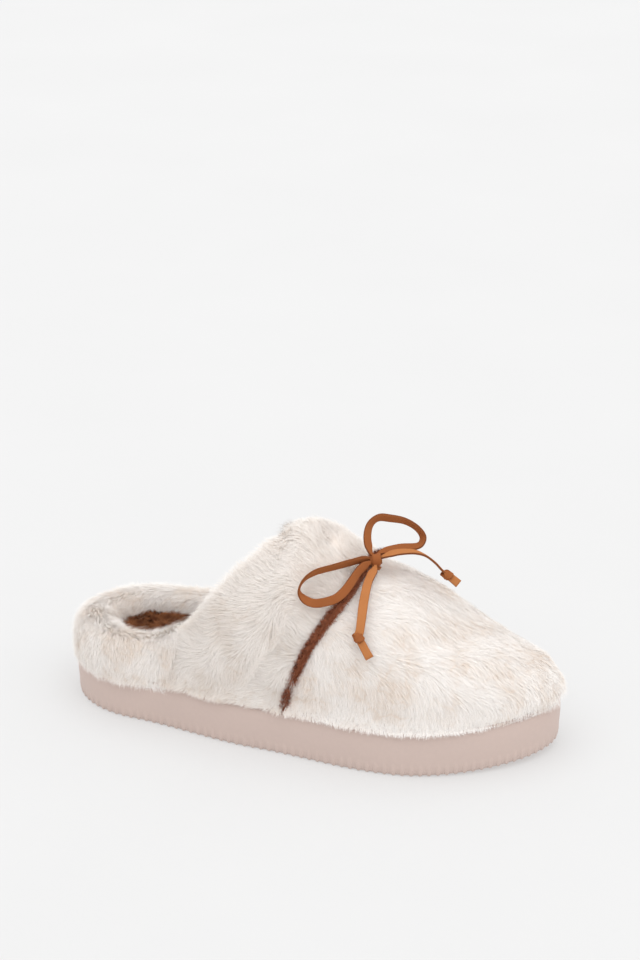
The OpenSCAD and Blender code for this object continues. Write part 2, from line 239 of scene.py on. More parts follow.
def make_mesh(name, points, faces):
    """A smooth shaded mesh object at the origin, from points in millimetres."""
    mesh = bpy.data.meshes.new(name)
    mesh.from_pydata((np.asarray(points, float).reshape(-1, 3) * MM).tolist(), [], [list(f) for f in faces])
    mesh.polygons.foreach_set("use_smooth", [True] * len(mesh.polygons))
    mesh.update()
    obj = bpy.data.objects.new(name, mesh)
    bpy.context.scene.collection.objects.link(obj)
    return obj


def outward(obj, weld=True):
    """Turns the faces of a closed mesh outwards."""
    bm = bmesh.new()
    bm.from_mesh(obj.data)
    if weld:
        bmesh.ops.remove_doubles(bm, verts=bm.verts, dist=1e-6)
    bmesh.ops.recalc_face_normals(bm, faces=bm.faces)
    bm.to_mesh(obj.data)
    bm.free()
    obj.data.polygons.foreach_set("use_smooth", [True] * len(obj.data.polygons))
    return obj


def slab(name, outer, inner):
    """A closed sheet of cloth between two grids of points."""
    rows, cols = outer.shape[:2]
    m = rows * cols
    top = grid_faces(rows, cols)
    under = top[:, ::-1] + m
    edge = (
        [j for j in range(cols)]
        + [i * cols + cols - 1 for i in range(1, rows)]
        + [(rows - 1) * cols + j for j in range(cols - 2, -1, -1)]
        + [i * cols for i in range(rows - 2, 0, -1)]
    )
    rim = [[a, edge[(k + 1) % len(edge)], edge[(k + 1) % len(edge)] + m, a + m] for k, a in enumerate(edge)]
    points = np.concatenate([outer.reshape(-1, 3), inner.reshape(-1, 3)])
    return outward(make_mesh(name, points, [*top.tolist(), *under.tolist(), *rim]))


def loft(name, rings, capped=True):
    """A solid through closed rings of equal count."""
    rings = np.asarray(rings)
    rows, cols = rings.shape[:2]
    faces = grid_faces(rows, cols, closed=True).tolist()
    if capped:
        faces += [list(range(cols))[::-1], [(rows - 1) * cols + j for j in range(cols)]]
    return outward(make_mesh(name, rings, faces))


def outline_ring(count, d, z):
    t = np.linspace(0, 2 * np.pi, count, endpoint=False)
    p = plan_off(t, np.full(count, float(d)))
    return np.concatenate([p, (z + toe_lift(p[:, 0]))[:, None]], 1)


# ---- Node helpers ----


class Graph:
    """Adds nodes to a tree and wires their sockets."""

    def __init__(self, tree):
        self.tree = tree

    def node(self, kind, inputs=None, **settings):
        """Adds a node with its settings, then gives its input sockets their values or links."""
        made = self.tree.nodes.new(kind)
        for key, value in settings.items():
            setattr(made, key, value)
        for name, value in (inputs or {}).items():
            self.feed(made, name, value)
        return made

    def feed(self, node, name, value):
        if isinstance(name, str):
            socket = next(s for s in node.inputs if s.name == name and s.enabled)
        else:
            socket = node.inputs[name]
        if isinstance(value, bpy.types.NodeSocket):
            self.tree.links.new(value, socket)
        else:
            socket.default_value = value

    def shown(self, node):
        return next(s for s in node.outputs if s.enabled)

    def math(self, operation, *values):
        return self.node("ShaderNodeMath", dict(enumerate(values)), operation=operation).outputs[0]

    def times(self, *values):
        return self.math("MULTIPLY", *values)

    def vector(self, operation, *values):
        made = self.node("ShaderNodeVectorMath", operation=operation)
        for i, value in enumerate(values):
            self.feed(made, 3 if operation == "SCALE" and i == 1 else i, value)
        return made.outputs[1 if operation in ("LENGTH", "DOT_PRODUCT") else 0]

    def scaled(self, value, by):
        return self.vector("SCALE", value, by)

    def noise(self, place, scale, detail=2.0, out="Fac"):
        inputs = {"Vector": place, "Scale": scale, "Detail": detail}
        return self.node("ShaderNodeTexNoise", inputs).outputs[out]

    def blend(self, amount, a, b):
        return self.shown(self.node("ShaderNodeMix", {"Factor": amount, "A": a, "B": b}, data_type="RGBA"))

    def spread(self, value, low, high, to_low=0.0, to_high=1.0):
        ends = {"Value": value, "From Min": low, "From Max": high, "To Min": to_low, "To Max": to_high}
        return self.node("ShaderNodeMapRange", ends).outputs["Result"]

    def split(self, value):
        return self.node("ShaderNodeSeparateXYZ", {0: value}).outputs

    def place(self):
        return self.node("ShaderNodeTexCoord").outputs["Object"]

    def attribute(self, name):
        return self.node("ShaderNodeAttribute", attribute_name=name).outputs["Fac"]

    def group(self, name, inputs):
        return self.node("ShaderNodeGroup", inputs, node_tree=bpy.data.node_groups[name]).outputs

    def bump(self, strength, distance, height):
        inputs = {"Strength": strength, "Distance": distance, "Height": height}
        return self.node("ShaderNodeBump", inputs).outputs[0]

    def named(self, name, kind="FLOAT"):
        return self.shown(self.node("GeometryNodeInputNamedAttribute", {"Name": name}, data_type=kind))

    def store(self, geometry, name, value, kind="FLOAT"):
        inputs = {"Geometry": geometry, "Name": name, "Value": value}
        return self.node("GeometryNodeStoreNamedAttribute", inputs, data_type=kind, domain="POINT").outputs[0]

    def random(self, low, high, seed, kind="FLOAT"):
        inputs = {"Min": low, "Max": high, "Seed": seed}
        return self.shown(self.node("FunctionNodeRandomValue", inputs, data_type=kind))


GEOMETRY, COLOUR, NUMBER = "NodeSocketGeometry", "NodeSocketColor", "NodeSocketFloat"
MATERIAL = "NodeSocketMaterial"
SOCKET_OF = {float: NUMBER, int: "NodeSocketInt", tuple: COLOUR}


def new_group(name, kind, inputs, outputs):
    """A node group's graph, its inputs by name and its output node. A value gives its socket's kind."""
    tree = bpy.data.node_groups.new(name, kind)
    for way, sockets in (("INPUT", inputs), ("OUTPUT", outputs)):
        for title, value in sockets.items():
            bare = isinstance(value, str)
            socket = value if bare else SOCKET_OF[type(value)]
            made = tree.interface.new_socket(title, in_out=way, socket_type=socket)
            if not bare:
                made.default_value = value
    graph = Graph(tree)
    given = graph.node("NodeGroupInput")
    return graph, {s.name: s for s in given.outputs}, graph.node("NodeGroupOutput")


def strand_tree():
    """Strands that stand on a surface, lie along its comb attribute and curl: fur, plush and fuzz."""
    inputs = {
        "Geometry": GEOMETRY, "Density": 4.0e6, "Seed": 1, "Rows": 4,
        "Width": 0.0003, "Rise": 0.4, "Stray": 0.25,
        "Clump Size": 0.004, "Clump Pull": 0.0012, "Curl": 0.0, "Material": MATERIAL,
    }
    graph, take, result = new_group("pile_strands", "GeometryNodeTree", inputs, {"Geometry": GEOMETRY})
    times, scaled, add = graph.times, graph.scaled, lambda a, b: graph.vector("ADD", a, b)
    vector = "FLOAT_VECTOR"
    seeds = {"Mesh": take["Geometry"], "Density": take["Density"], "Seed": take["Seed"]}
    scatter = graph.node("GeometryNodeDistributePointsOnFaces", seeds, distribute_method="RANDOM")
    here = graph.node("GeometryNodeInputPosition").outputs[0]
    points = graph.store(scatter.outputs["Points"], "root", here, vector)
    points = graph.store(points, "away", scatter.outputs["Normal"], vector)
    points = graph.store(points, "stray", graph.random((-1, -1, -1), (1, 1, 1), take["Seed"], vector), vector)
    points = graph.store(points, "tone", graph.random(0.0, 1.0, graph.math("ADD", take["Seed"], 7.0)))

    sizes = {"Size X": 2.0, "Size Y": 1.0, "Vertices X": 2, "Vertices Y": take["Rows"]}
    blade = graph.node("GeometryNodeMeshGrid", sizes)
    where = graph.split(graph.node("GeometryNodeInputPosition").outputs[0])
    strand = graph.store(blade.outputs["Mesh"], "side", where["X"])
    strand = graph.store(strand, "along", graph.math("ADD", where["Y"], 0.5))
    place = graph.node("GeometryNodeInstanceOnPoints", {"Points": points, "Instance": strand})
    real = graph.node("GeometryNodeRealizeInstances", {"Geometry": place.outputs[0]})

    root, away = graph.named("root", vector), graph.named("away", vector)
    stray, tone = graph.named("stray", vector), graph.named("tone")
    along, side = graph.named("along"), graph.named("side")
    length = times(graph.named("pile"), graph.math("MULTIPLY_ADD", tone, 0.6, 0.7))
    comb = add(graph.named("comb", vector), scaled(stray, take["Stray"]))
    flat = graph.vector("SUBTRACT", comb, scaled(away, graph.vector("DOT_PRODUCT", comb, away)))
    flat = graph.vector("NORMALIZE", flat)
    across = graph.vector("NORMALIZE", graph.vector("CROSS_PRODUCT", flat, away))
    parts = graph.split(stray)
    wide = add(across, scaled(away, times(parts["X"], 0.35)))

    forward = times(length, graph.math("POWER", along, 1.15))
    bow = graph.math("SUBTRACT", 1.35, times(along, 0.75))
    steep = times(take["Rise"], graph.math("MULTIPLY_ADD", parts["Z"], 0.3, 1.0))
    upward = times(times(length, along), times(bow, steep))
    clump = graph.noise(root, graph.math("DIVIDE", 1.0, take["Clump Size"]), 2.0, "Color")
    clump = graph.vector("SUBTRACT", clump, (0.5, 0.5, 0.5))
    clump = scaled(clump, times(take["Clump Pull"], times(along, 4.0)))
    turn = graph.math("MULTIPLY_ADD", along, 9.0, times(tone, 40.0))
    curl = times(take["Curl"], along)
    swing, lean = times(curl, graph.math("SINE", turn)), times(curl, graph.math("COSINE", turn))
    coil = add(scaled(across, swing), scaled(flat, lean))
    half = times(times(take["Width"], 0.5), graph.math("MULTIPLY_ADD", along, -0.8, 1.0))
    spot = add(root, scaled(flat, forward))
    spot = add(spot, scaled(away, upward))
    spot = add(spot, scaled(wide, times(side, half)))
    spot = add(add(spot, clump), coil)
    move = graph.node("GeometryNodeSetPosition", {"Geometry": real.outputs[0], "Position": spot})
    return finished(graph, result, move, take["Material"])


def finished(graph, result, made, finish):
    """Gives a tree's geometry its material and sends it out."""
    dressed = graph.node("GeometryNodeSetMaterial", {"Geometry": made.outputs[0], "Material": finish})
    graph.feed(result, "Geometry", dressed.outputs[0])
    return graph.tree


def rib_tree():
    """Upright ribs along a closed outline, each turned square to it."""
    inputs = {"Geometry": GEOMETRY, "Count": 132, "Width": 0.003, "Height": 0.01, "Material": MATERIAL}
    graph, take, result = new_group("sole_ribs", "GeometryNodeTree", inputs, {"Geometry": GEOMETRY})
    line = graph.node("GeometryNodeMeshToCurve", {"Mesh": take["Geometry"]})
    even = graph.node("GeometryNodeResampleCurve", {"Curve": line.outputs[0], "Count": take["Count"]})
    ball = graph.node("GeometryNodeMeshUVSphere", {"Segments": 10, "Rings": 7, "Radius": 0.5})
    sides = {"X": take["Width"], "Y": graph.times(take["Width"], 0.5), "Z": take["Height"]}
    size = graph.node("ShaderNodeCombineXYZ", sides)
    ahead = {"Vector": graph.node("GeometryNodeInputTangent").outputs[0]}
    turn = graph.node("FunctionNodeAlignRotationToVector", ahead, axis="X", pivot_axis="Z")
    ribs = {"Points": even, "Instance": ball, "Rotation": turn, "Scale": size}
    ribs = {title: node.outputs[0] for title, node in ribs.items()}
    place = graph.node("GeometryNodeInstanceOnPoints", ribs)
    real = graph.node("GeometryNodeRealizeInstances", {"Geometry": place.outputs[0]})
    return finished(graph, result, real, take["Material"])


def grown(name, base, tree, values, keep=("along", "tone")):
    """What a node tree makes of base, as a plain mesh object at the origin."""
    modifier = base.modifiers.new("grow", "NODES")
    modifier.node_group = tree
    sockets = {s.name: s.identifier for s in tree.interface.items_tree if s.in_out == "INPUT"}
    for title, value in values.items():
        modifier[sockets[title]] = value
    graph = bpy.context.evaluated_depsgraph_get()
    mesh = bpy.data.meshes.new_from_object(base.evaluated_get(graph), depsgraph=graph)
    base.modifiers.remove(modifier)
    mesh.name = name
    mesh.polygons.foreach_set("use_smooth", [True] * len(mesh.polygons))
    if "away" in mesh.attributes and "stray" in mesh.attributes:
        away, stray = (np.zeros(len(mesh.vertices) * 3, np.float32) for _ in range(2))
        mesh.attributes["away"].data.foreach_get("vector", away)
        mesh.attributes["stray"].data.foreach_get("vector", stray)
        mesh.normals_split_custom_set_from_vertices(normalised((away + 0.2 * stray).reshape(-1, 3)))
    for attribute in [a.name for a in mesh.attributes if not a.is_internal and not a.is_required]:
        if attribute not in keep and attribute not in ("sharp_face", "material_index", "custom_normal"):
            mesh.attributes.remove(mesh.attributes[attribute])
    obj = bpy.data.objects.new(name, mesh)
    bpy.context.scene.collection.objects.link(obj)
    if not len(mesh.polygons):
        raise RuntimeError(f"{name} grew nothing")
    return obj


def area_of(obj):
    areas = np.zeros(len(obj.data.polygons))
    obj.data.polygons.foreach_get("area", areas)
    return float(areas.sum())


def with_skirt(points):
    """A skin grid that swells out low down, with more columns at each side that turn down over the sole."""
    half = points.shape[1] // 2
    sides = []
    for edge, part, way in ((points[:, 0], points[:, :half], 1), (points[:, -1], points[:, half:], -1)):
        t = normalised(np.gradient(edge[:, :2], axis=0))
        out = np.stack([t[:, 1], -t[:, 0], 0 * t[:, 0]], -1) * way
        share = 1 - 0.75 * unit((edge[:, :1] - 90) / 38)
        low = HEM_OUT * share * (1 - unit((part[..., 2] - edge[:, None, 2]) / 12)) ** 2
        swelled = part + out[:, None, :] * low[..., None]
        foot = swelled[:, 0 if way > 0 else -1]
        under = np.stack([foot + out * share * flare - [0, 0, drop] for flare, drop in SKIRT], 1)
        sides.append(np.concatenate([under[:, ::-1], swelled] if way > 0 else [swelled, under], 1))
    return np.concatenate(sides, 1)


def combed(name, points, comb, pile):
    """A bare grid of skin that carries the way its pile lies and how long it is, for strands to grow on."""
    rows, cols = points.shape[:2]
    obj = make_mesh(name, points, grid_faces(rows, cols).tolist())
    mesh = obj.data
    lay = mesh.attributes.new("comb", "FLOAT_VECTOR", "POINT")
    lay.data.foreach_set("vector", normalised(comb).reshape(-1).astype(np.float32))
    long = mesh.attributes.new("pile", "FLOAT", "POINT")
    long.data.foreach_set("value", (np.broadcast_to(pile, (rows, cols)).reshape(-1) * MM).astype(np.float32))
    if name != "collar_skin":
        mesh.update()
        p = mesh.polygons[len(mesh.polygons) // 2]
        if np.dot(np.array(p.normal), np.array(p.center) / MM - SHOE_MIDDLE) < 0:
            mesh.flip_normals()
    return obj


# ---- Materials ----


def tint_group():
    """Soft colour variation of a pile: random warm patches and strand tones, painted shade that is warm in its
    creases, at its roots and lower down, and pale at its tips.
    """
    # The warm colour is both the pile's random warm patches and its painted shade.
    inputs = {"Pale": (0.9, 0.86, 0.82, 1), "Warm": (0.75, 0.62, 0.52, 1)}
    inputs |= {"Patch Size": 60.0, "Root Shade": 0.5}
    graph, take, result = new_group("pile_tint", "ShaderNodeTree", inputs, {"Color": COLOUR})
    times, size, place = graph.times, take["Patch Size"], graph.place()
    patch = graph.noise(place, size, 3.0)
    fine = graph.noise(place, times(size, 9.0), 2.0)
    along, tone = graph.attribute("along"), graph.attribute("tone")
    # Random warm patches, a tone of the pile itself.
    warm_and_shade = times(graph.spread(patch, 0.45, 0.75), graph.math("MULTIPLY_ADD", fine, 0.8, 0.2))
    # Painted shade: a warmer colour along the creases between the clumps.
    crease_noise = graph.noise(place, times(size, 1.6), 2.0)
    crease_shade = graph.spread(graph.math("ABSOLUTE", graph.math("SUBTRACT", crease_noise, 0.5)), 0.035, 0.0, 0.0, 0.5)
    warm_and_shade = graph.math("ADD", warm_and_shade, times(crease_shade, graph.spread(patch, 0.4, 0.6)))
    # Painted shade lower down: the warm patches and creases are strong low on the slipper and faint higher up.
    warm_and_shade = times(warm_and_shade, graph.spread(graph.split(place)["Z"], 0.04, 0.085, 1.1, 0.45))
    # Painted shade at the roots: each strand is warmer towards its root.
    root = times(graph.math("SUBTRACT", 1.0, along), take["Root Shade"])
    strand = times(times(tone, tone), 0.25)
    amount = graph.spread(graph.math("ADD", warm_and_shade, graph.math("ADD", root, strand)), 0.0, 1.0)
    graph.feed(result, "Color", graph.blend(amount, take["Pale"], take["Warm"]))
    return graph.tree


def grain_group():
    """Fine grain of a matt surface: a mask of light and dark specks, and a height for a bump."""
    inputs, outputs = {"Scale": 900.0, "Cloud Scale": 60.0}, {"Mask": NUMBER, "Height": NUMBER}
    graph, take, result = new_group("fine_grain", "ShaderNodeTree", inputs, outputs)
    place = graph.place()
    speck = graph.noise(place, take["Scale"], 4.0)
    cloud = graph.noise(place, take["Cloud Scale"], 3.0)
    graph.feed(result, "Mask", graph.math("MULTIPLY_ADD", speck, 0.5, graph.times(cloud, 0.5)))
    graph.feed(result, "Height", speck)
    return graph.tree


def material(name, roughness, specular, sheen=0.0, sheen_tint=(1, 1, 1), viewport=(0.8, 0.8, 0.8)):
    """A material with its Principled shader, and the graph that its pattern is built in."""
    made = bpy.data.materials.new(name)
    made.use_nodes = True
    made.diffuse_color = (*viewport, 1)
    graph = Graph(made.node_tree)
    shader = made.node_tree.nodes["Principled BSDF"]
    graph.feed(shader, "Roughness", roughness)
    graph.feed(shader, "Specular IOR Level", specular)
    graph.feed(shader, "Sheen Weight", sheen)
    graph.feed(shader, "Sheen Tint", (*sheen_tint, 1))
    return made, graph, shader


def pile_material(name, pale, warm_and_shade, patch=60.0, root=0.5, sheen=0.2, roughness=0.7):
    made, graph, shader = material(name, roughness, 0.2, sheen, pale, pale)
    # The warm colour carries the random warm patches and the painted shade; root sets how strong the painted
    # shade at the roots is.
    inputs = {"Pale": (*pale, 1), "Warm": (*warm_and_shade, 1), "Patch Size": patch, "Root Shade": root}
    graph.feed(shader, "Base Color", graph.group("pile_tint", inputs)["Color"])
    return made


def grain_material(name, pale, dark, scale, cloud, bump, depth, roughness, specular, sheen=0.0):
    made, graph, shader = material(name, roughness, specular, sheen, pale, pale)
    grain = graph.group("fine_grain", {"Scale": scale, "Cloud Scale": cloud})
    amount = graph.spread(grain["Mask"], 0.35, 0.65)
    graph.feed(shader, "Base Color", graph.blend(amount, (*dark, 1), (*pale, 1)))
    graph.feed(shader, "Roughness", graph.spread(grain["Mask"], 0.3, 0.7, roughness - 0.08, roughness + 0.08))
    graph.feed(shader, "Normal", graph.bump(bump, depth, grain["Height"]))
    return made


def suede_material(name, face, back, rim):
    """Suede lace: a lighter face, a darker back painted as shade, and dark cut edges, with a fine nap."""
    made, graph, shader = material(name, 0.85, 0.15, 0.3, face, face)
    grain = graph.group("fine_grain", {"Scale": 1800.0, "Cloud Scale": 160.0})
    which, cut = graph.attribute("face_side"), graph.attribute("cut_edge")
    # Painted shade: the back face gets the darker back colour.
    shade = graph.blend(graph.spread(which, -0.4, 0.4), (*back, 1), (*face, 1))
    shade = graph.blend(graph.spread(cut, 0.3, 0.95), shade, (*rim, 1))
    speck = graph.spread(grain["Mask"], 0.3, 0.7, 0.0, 0.35)
    shade = graph.blend(speck, shade, tuple(c * 0.72 for c in face) + (1,))
    graph.feed(shader, "Base Color", shade)
    graph.feed(shader, "Normal", graph.bump(0.25, 0.0002, grain["Height"]))
    return made


def declare(obj, body=BODY, node=None):
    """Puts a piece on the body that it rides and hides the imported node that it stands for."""
    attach(obj, body)
    if node:
        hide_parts(node)


def dress(obj, made):
    """Gives an object one material."""
    obj.data.materials.clear()
    obj.data.materials.append(made)
    return obj


# ---- Settings ----


def colour_of(name, about, default):
    return FloatVectorProperty(
        name=name, description=about, subtype="COLOR", size=3, default=default, min=0, max=1
    )


def length_of(name, about, default, least, most):
    return FloatProperty(name=name, description=about, unit="LENGTH", default=default, min=least, max=most)


def angle_of(name, about, degrees):
    return FloatProperty(name=name, description=about, subtype="ANGLE", default=math.radians(degrees))


class SlipperColours(bpy.types.PropertyGroup):
    """Colours of the slipper's cloth, sole and lace"""

    fur: colour_of("Fur", "Pale tips of the fur", (0.985, 0.968, 0.952))
    # The warm fur colour is painted shade at the roots, in the creases and low down, as well as the fur's
    # random warm patches.
    fur_warm_and_shade: colour_of("Fur folds", "Warm roots and folds of the fur", (0.90, 0.82, 0.745))
    # The lit plush colour and the dark one are lit and shaded copies of one plush; the dark one is painted
    # shade at its roots and in its creases.
    plush: colour_of("Plush", "Lit curls of the brown plush", (0.30, 0.115, 0.045))
    plush_shade: colour_of("Plush depths", "Roots of the brown plush", (0.07, 0.018, 0.006))
    sole: colour_of("Sole", "Moulded sole", (0.605, 0.48, 0.43))
    lace: colour_of("Lace", "Face of the suede lace", (0.48, 0.185, 0.062))
    # The darker back of the lace is painted shade, for its shaded inner side.
    lace_back_shade: colour_of("Lace back", "Back of the suede lace", (0.30, 0.092, 0.028))


class SlipperFur(bpy.types.PropertyGroup):
    """Sizes of the fur and plush"""

    length: length_of("Pile length", "Length of a fur strand", 0.0066, 0.003, 0.02)
    width: length_of("Strand width", "Width of a fur strand at its root", 0.00028, 0.0001, 0.001)
    depth: FloatProperty(
        name="Pile depth",
        description="How deep the skin lies under the fur's face, in millimetres",
        default=2.7,
        min=1,
        max=5,
    )
    layers: IntProperty(
        name="Layers", description="Full pieces of strands on the toe panel", default=3, min=1, max=5,
    )
    plush_length: length_of("Plush length", "Length of a plush curl", 0.0032, 0.001, 0.008)


class SlipperSole(bpy.types.PropertyGroup):
    """Sizes of the sole"""

    ribs: IntProperty(name="Ribs", description="Ribs round the lower edge", default=132, min=60, max=180)
    rib_width: length_of("Rib width", "Width of one rib", 0.0046, 0.002, 0.006)
    rib_height: length_of("Rib height", "Height of one rib", 0.012, 0.004, 0.02)


class SlipperLace(bpy.types.PropertyGroup):
    """Sizes of the lace"""

    width: length_of("Lace width", "Width of the flat lace", 0.0045, 0.003, 0.006)
    thickness: length_of("Lace thickness", "Thickness of the flat lace", 0.0012, 0.0008, 0.002)


class SlipperStage(bpy.types.PropertyGroup):
    """The camera and the light"""

    azimuth: angle_of("Azimuth", "Where the camera stands round the slipper", 20.304)
    elevation: angle_of("Elevation", "How high the camera looks from", 22.998)
    distance: length_of("Distance", "Distance of the camera", 1.3, 0.3, 5)
    lens: FloatProperty(name="Lens", description="Focal length", unit="CAMERA", default=95.9, min=20, max=200)
    sky: FloatProperty(
        name="Room light", description="Strength of the even light of the room", default=0.92, min=0, max=5,
    )
    sun: FloatProperty(
        name="Soft light", description="Strength of the soft light from above", default=1.15, min=0, max=10,
    )


# ---- Stage ----

# Each soft light's name, the way it shines, its share of the light and its spread in degrees.
SOFT_LIGHTS = (("top_light", (0.1, 0.15, -1), 0.85, 70), ("side_light", (-1, 0.4, -0.8), 0.4, 60))
FLOOR_HALF = 9000


class SLIPPER_OT_stage(bpy.types.Operator):
    """Makes the camera, the soft light and the pale floor"""

    bl_idname = "slipper.stage"
    bl_label = "Stage"

    def execute(self, context):
        stage, scene = context.scene.slipper_stage, context.scene
        a, e = stage.azimuth, stage.elevation
        target = Vector((0.00534, 0.0, 0.13642))
        back = Vector((math.sin(a) * math.cos(e), -math.cos(a) * math.cos(e), math.sin(e)))
        data = bpy.data.cameras.new("camera")
        data.lens, data.sensor_width, data.clip_start, data.clip_end = stage.lens, 36, 0.02, 60
        camera = bpy.data.objects.new("camera", data)
        camera.location = target + back * stage.distance
        camera.rotation_euler = back.to_track_quat("Z", "Y").to_euler()
        scene.collection.objects.link(camera)
        scene.camera = camera

        scene.view_settings.view_transform = "Standard"
        scene.cycles.max_bounces, scene.cycles.diffuse_bounces = 24, 16
        world = bpy.data.worlds.new("room")
        world.use_nodes = True
        world.node_tree.nodes["Background"].inputs["Color"].default_value = (1, 1, 1, 1)
        world.node_tree.nodes["Background"].inputs["Strength"].default_value = stage.sky
        scene.world = world
        for name, way, share, size in SOFT_LIGHTS:
            light = bpy.data.lights.new(name, "SUN")
            light.energy, light.angle = stage.sun * share, math.radians(size)
            lamp = bpy.data.objects.new(name, light)
            lamp.rotation_euler = Vector(way).to_track_quat("-Z", "Y").to_euler()
            scene.collection.objects.link(lamp)

        far = FLOOR_HALF
        corners = [[-far, -far, 0], [far, -far, 0], [far, far, 0], [-far, far, 0]]
        floor = make_mesh("floor", corners, [(0, 1, 2, 3)])
        paper, graph, shader = material("floor_paper", 0.9, 0.1, viewport=(0.9, 0.9, 0.9))
        fleck = graph.noise(graph.place(), 6.0, 3.0)
        grey, paler = (0.38, 0.38, 0.38, 1), (0.39, 0.39, 0.39, 1)
        graph.feed(shader, "Base Color", graph.blend(graph.spread(fleck, 0.3, 0.7), grey, paler))
        graph.feed(shader, "Emission Color", (1, 1, 1, 1))
        graph.feed(shader, "Emission Strength", 0.4)
        dress(floor, paper)
        return {"FINISHED"}


# ---- Lace bow ----

CUT_EDGE = (0.16, 0.045, 0.015)

LOOP_LEFT = [
    [-4, -3, 1.5, 0.1, -0.6, 0.8], [-9, -11.8, 2.4, 0.1, -0.6, 0.8], [-15, -22.8, 3.4, 0.1, -0.6, 0.8],
    [-21.5, -30.5, 3, 0.1, -0.6, 0.8], [-26, -35, 0, 0.2, -0.8, 0.5], [-27.5, -38, -4.5, 0.3, -0.9, 0.1],
    [-24, -40, -8, 0.3, -0.8, -0.5], [-19, -40, -9.5, 0.1, -0.5, -0.9], [-14, -38, -9, 0.1, -0.3, -0.9],
    [-9.4, -34, -8, 0.4, -0.2, -0.8], [-6.8, -29, -6, 0.6, 0, -0.7], [-5.4, -22, -3.5, 0.5, 0, -0.8],
    [-4.6, -13, -1.2, 0.4, 0, -0.9], [-3.1, -5.5, -0.4, 0.4, 0, -0.9],
]
LOOP_RIGHT = [
    [-3.8, 1.5, 3.6, 0.6, 0.8, -0.2], [-6.5, 5, 9.5, 0.6, 0.8, -0.2], [-6.8, 10, 14.5, 0.4, 0.7, -0.5],
    [-3.8, 14.5, 17, -0.1, 0.3, -1], [1.5, 18, 16, -0.1, 0.3, -1], [8, 22.5, 13.5, -0.3, 0.4, -0.8],
    [14, 24.5, 9.5, -0.6, 0.4, -0.6], [17.3, 24, 5, -0.8, 0.4, -0.3], [16, 20, 2, -0.5, 0.8, 0.2],
    [8.5, 13, 2.8, -0.3, 0.9, 0.3], [1.2, 4.8, 2.4, -0.3, 0.9, 0.3],
]
TAIL_FRONT = [
    [1, -4.6, -2.6, 0.9, 0.3, 0], [1.3, -11, -3.4, 0.9, 0.3, 0], [1.9, -18.5, -5.2, 0.9, 0.3, 0],
    [3.4, -28, -10, 0.9, 0.3, 0], [4.8, -35.5, -16.3, 0.9, 0.3, 0], [5.4, -39.5, -20.8, 0.9, 0.3, 0],
]
TAIL_RIGHT = [
    [4.6, 1, 2.6, -0.3, 0.9, 0.2], [9, 4, 3.8, -0.3, 0.9, 0.2], [14, 7, 3.9, -0.3, 0.9, 0.1],
    [18.5, 9.5, 3.2, -0.3, 0.9, -0.1], [23, 11.5, 1, -0.3, 0.9, -0.4], [27.5, 13, -2.8, -0.3, 0.9, -0.4],
    [31, 13.3, -6.3, -0.3, 0.9, -0.4],
]
KNOT_FRONT = ([5.6, -42, -23.6], [12.6, -45, -32.5], [0.8, 0.5, 0.4])
KNOT_RIGHT = ([34, 13.6, -8.8], [40, 13.8, -13], [0.45, 0.65, 0.6])


def smooth_route(points, steps):
    """A smooth curve through listed points, which also carry the way the lace's width lies."""
    p = np.asarray(points, float)
    n = len(p) - 1
    out = []
    for i in range(n):
        a, b, c, d = p[max(i - 1, 0)], p[i], p[i + 1], p[min(i + 2, n)]
        for k in range(steps):
            s = k / steps
            bend, twist = 2 * a - 5 * b + 4 * c - d, 3 * b - a - 3 * c + d
            out.append(0.5 * (2 * b + (c - a) * s + bend * s * s + twist * s**3))
    out.append(p[-1])
    return np.array(out)


LACE_SECTION = np.array([
    [1, -0.35], [0.985, -0.75], [0.93, -1], [0.5, -1], [0, -1], [-0.5, -1],
    [-0.93, -1], [-0.985, -0.75], [-1, -0.35], [-1, 0.35], [-0.985, 0.75], [-0.93, 1],
    [-0.5, 1], [0, 1], [0.5, 1], [0.93, 1], [0.985, 0.75], [1, 0.35],
])


def ribbon(name, line, wide, width, thick, closed=False):
    """A flat lace along a line of points, its width along wide, its section rounded at the cut edges."""
    n = len(line)
    if closed:
        along = normalised(np.roll(line, -1, 0) - np.roll(line, 1, 0))
    else:
        along = normalised(np.gradient(line, axis=0))
    u = normalised(wide - along * (wide * along).sum(-1, keepdims=True))
    v = np.cross(along, u)
    q = LACE_SECTION
    w = np.broadcast_to(np.asarray(width, float), (n,))[:, None, None]
    points = line[:, None, :] + u[:, None, :] * q[None, :, :1] * w / 2
    points = points + v[:, None, :] * q[None, :, 1:] * thick / 2
    rows, cols = points.shape[:2]
    last = (rows - 1) * cols
    faces = grid_faces(rows, cols, closed=True).tolist()
    if closed:
        faces += [[last + j, last + (j + 1) % cols, (j + 1) % cols, j] for j in range(cols)]
    else:
        faces += [list(range(cols))[::-1], [last + j for j in range(cols)]]
    obj = outward(make_mesh(name, points, faces), weld=False)
    side = obj.data.attributes.new("face_side", "FLOAT", "POINT")
    side.data.foreach_set("value", np.tile(q[:, 1], n).astype(np.float32))
    rim = obj.data.attributes.new("cut_edge", "FLOAT", "POINT")
    rim.data.foreach_set("value", np.tile(np.clip((np.abs(q[:, 0]) - 0.9) / 0.1, 0, 1), n).astype(np.float32))
    return obj


def lace_piece(name, points, steps, width, thick):
    """A lace along a route about the bow's knot, gathered narrower where it runs into the knot."""
    route = smooth_route(points, steps)
    gather = 0.34 + 0.66 * unit((np.linalg.norm(route[:, :3], axis=1) - 3.4) / 5.0)
    rng = np.random.default_rng(len(name))
    wobble = np.interp(np.linspace(0, 1, len(route)), np.linspace(0, 1, 9), rng.uniform(0.95, 1.05, 9))
    obj = ribbon(name, KNOT + route[:, :3], route[:, 3:], width * wobble * gather, thick)
    return obj, (KNOT + route[:, :3]) * MM


